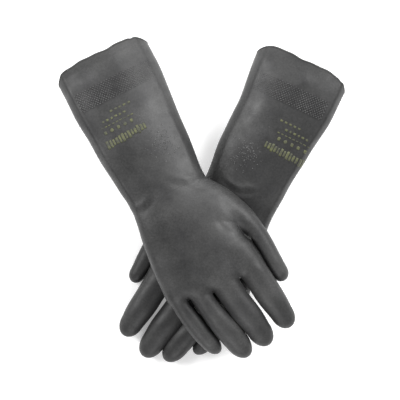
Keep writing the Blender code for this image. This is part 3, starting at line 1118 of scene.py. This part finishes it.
def paint_light_and_shade(side, skin, points):
    """Paints light and shade into the rubber's colour: lighter patches where light falls, and darker ones
    where shade falls and between the studs, in shares of its own tone.
    """
    u, v, w = points.T
    first, last = GRIP_BAND[side]
    edge = ramp(u, first - 2, first + 1) * (1 - ramp(u, last - 30, last))
    band = ramp(v, GRIP_V[0] - 1.5, GRIP_V[0]) * (1 - ramp(v, GRIP_V[1] - 1, GRIP_V[1] + 0.5))
    on_back = w > tube_rows(side, v)[1]
    # Painted shade between the grip studs, on the back of the band.
    share = -STUD_GAP_PAINTED_SHADE * edge * band * on_back
    # Lighter and darker patches of painted light and shade.
    for at_u, at_v, half_u, half_v, amount in PAINTED_LIGHT_AND_SHADE[side]:
        share = share + amount * np.exp(-(((u - at_u) / half_u) ** 2) - ((v - at_v) / half_v) ** 2)
    share = np.tile(share, 2).astype(np.float32)
    skin.data.attributes.new("wear_and_painted_light", "FLOAT", "POINT").data.foreach_set("value", share)


def both_skins(side, part, surface, inside):
    """A part's rubber skin, with its painted light and shade, and its flock lining inside it."""
    skin = closed_skin(f"{side}_{part}_rubber", side, surface, 0, RUBBER_WALL)
    paint_light_and_shade(side, skin, surface[0])
    return skin, closed_skin(f"{side}_{part}_flock", side, inside, LINING_DEPTH, LINING_WALL)


def build_sleeve(side, rubber, stud_rubber_painted_lighter, speck_rubber_painted_lighter, flock, ink):
    surface = sleeve_surface(side)
    skin, lining = both_skins(side, "sleeve", surface, surface)
    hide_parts(f"{side}_gauntlet_shell")
    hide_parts(f"{side}_gauntlet_lining")
    edge = bead(side)
    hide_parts(f"{side}_cuff_bead")
    band = grip_band(side)
    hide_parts(f"{side}_grip_band")
    print_block = marking(side)
    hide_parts(f"{side}_marking")
    bumps = specks(side)
    for piece, material, slot in (
        (skin, rubber, "rubber"),
        (lining, flock, "flock"),
        (edge, rubber, "rubber"),
        (band, stud_rubber_painted_lighter, "rubber"),
        (print_block, ink, "print"),
        (bumps, speck_rubber_painted_lighter, "rubber"),
    ):
        dressed(piece, material)
        bend_at_wrist(piece, side)


def build_hand(side, rubber, flock):
    surface = hand_surface(side)
    skin, lining = both_skins(side, "hand", surface, without_web_edges(side, surface))
    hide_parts(f"{side}_hand_shell")
    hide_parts(f"{side}_hand_lining")
    for piece, material, slot in ((skin, rubber, "rubber"), (lining, flock, "flock")):
        dressed(piece, material)
        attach(piece, f"{side}_hand")


def build_digit(side, name, rubber, flock):
    surface = digit_surface(side, name)
    skin, lining = both_skins(side, name, surface, surface)
    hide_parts(f"{side}_{name}_stall")
    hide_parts(f"{side}_{name}_lining")
    digit = digits[side][name]
    centre = digit.at(np.array(digit.bend, float))[0]
    for piece, material, slot in ((skin, rubber, "rubber"), (lining, flock, "flock")):
        dressed(piece, material)
        bend(piece)


def build_gloves():
    rubber = rubber_material("dipped_rubber", (0.0155, 0.0155, 0.016), (0.025, 0.025, 0.0247), 0.5)
    # Painted highlight: the grip studs and the dip's specks are the same rubber as the skin, painted lighter
    # where they catch the light, with glossier finishes.
    stud_rubber_painted_lighter = rubber_material("glossy_stud_rubber_painted_lighter", (0.03, 0.03, 0.03), (0.055, 0.055, 0.055), 0.42)
    speck_rubber_painted_lighter = rubber_material("shiny_speck_rubber_painted_lighter", (0.04, 0.04, 0.04), (0.085, 0.085, 0.085), 0.32)
    flock = flock_material()
    ink = ink_material()
    for side in SIDES:
        build_sleeve(side, rubber, stud_rubber_painted_lighter, speck_rubber_painted_lighter, flock, ink)
        build_hand(side, rubber, flock)
        for name in DIGITS:
            build_digit(side, name, rubber, flock)


def build_floor():
    """A plain pale floor far wider than the view, glowing faintly like a light table."""
    shape = bmesh.new()
    bmesh.ops.create_grid(shape, x_segments=4, y_segments=4, size=6)
    mesh = bpy.data.meshes.new("floor")
    shape.to_mesh(mesh)
    shape.free()
    floor = linked("floor", mesh)
    made, surface, where = shader("pale_floor")
    tone = ranged(noise(where, 3, 2), 0, 1)
    feed(mixed(tone, (0.86, 0.86, 0.86), (0.88, 0.88, 0.88)), surface.inputs["Base Color"])
    surface.inputs["Roughness"].default_value = 0.8
    surface.inputs["Emission Color"].default_value = (1, 1, 1, 1)
    surface.inputs["Emission Strength"].default_value = FLOOR_GLOW
    mesh.materials.append(made)


def soft_box(name, azimuth, slant, power):
    """A square light aimed at the gloves, at an azimuth from +X and a slant from straight above."""
    around, down = math.radians(azimuth), math.radians(slant)
    place = Vector((math.cos(around) * math.sin(down), math.sin(around) * math.sin(down), math.cos(down)))
    data = bpy.data.lights.new(name, "AREA")
    data.size = BOX_SIZE
    data.energy = power
    lamp = linked(name, data)
    lamp.location = place * BOX_DISTANCE
    lamp.rotation_euler = (Vector(LIGHT_TARGET) - lamp.location).to_track_quat("-Z", "Y").to_euler()


def build_light():
    """Soft studio light: four boxes round the view, and a pale surround."""
    for name, azimuth, slant, power in SOFT_BOXES:
        soft_box(name, azimuth, slant, power)
    world = bpy.data.worlds.new("surround")
    world.use_nodes = True
    background = world.node_tree.nodes["Background"]
    background.inputs["Color"].default_value = (1, 1, 1, 1)
    background.inputs["Strength"].default_value = SURROUND_GLOW
    bpy.context.scene.world = world
    bpy.context.scene.view_settings.view_transform = "Standard"


def build_camera():
    """Straight above the pair, with a long lens and the cuffs at the top of the view."""
    data = bpy.data.cameras.new("camera")
    data.sensor_width = SENSOR_WIDTH
    data.lens = data.sensor_width * (VIEW_HEIGHT - VIEW_LEVEL) / VIEW_WIDTH
    camera = linked("camera", data)
    camera.location = (*VIEW_CENTRE, VIEW_HEIGHT)
    bpy.context.scene.camera = camera


build_camera()
build_floor()
build_light()
build_gloves()
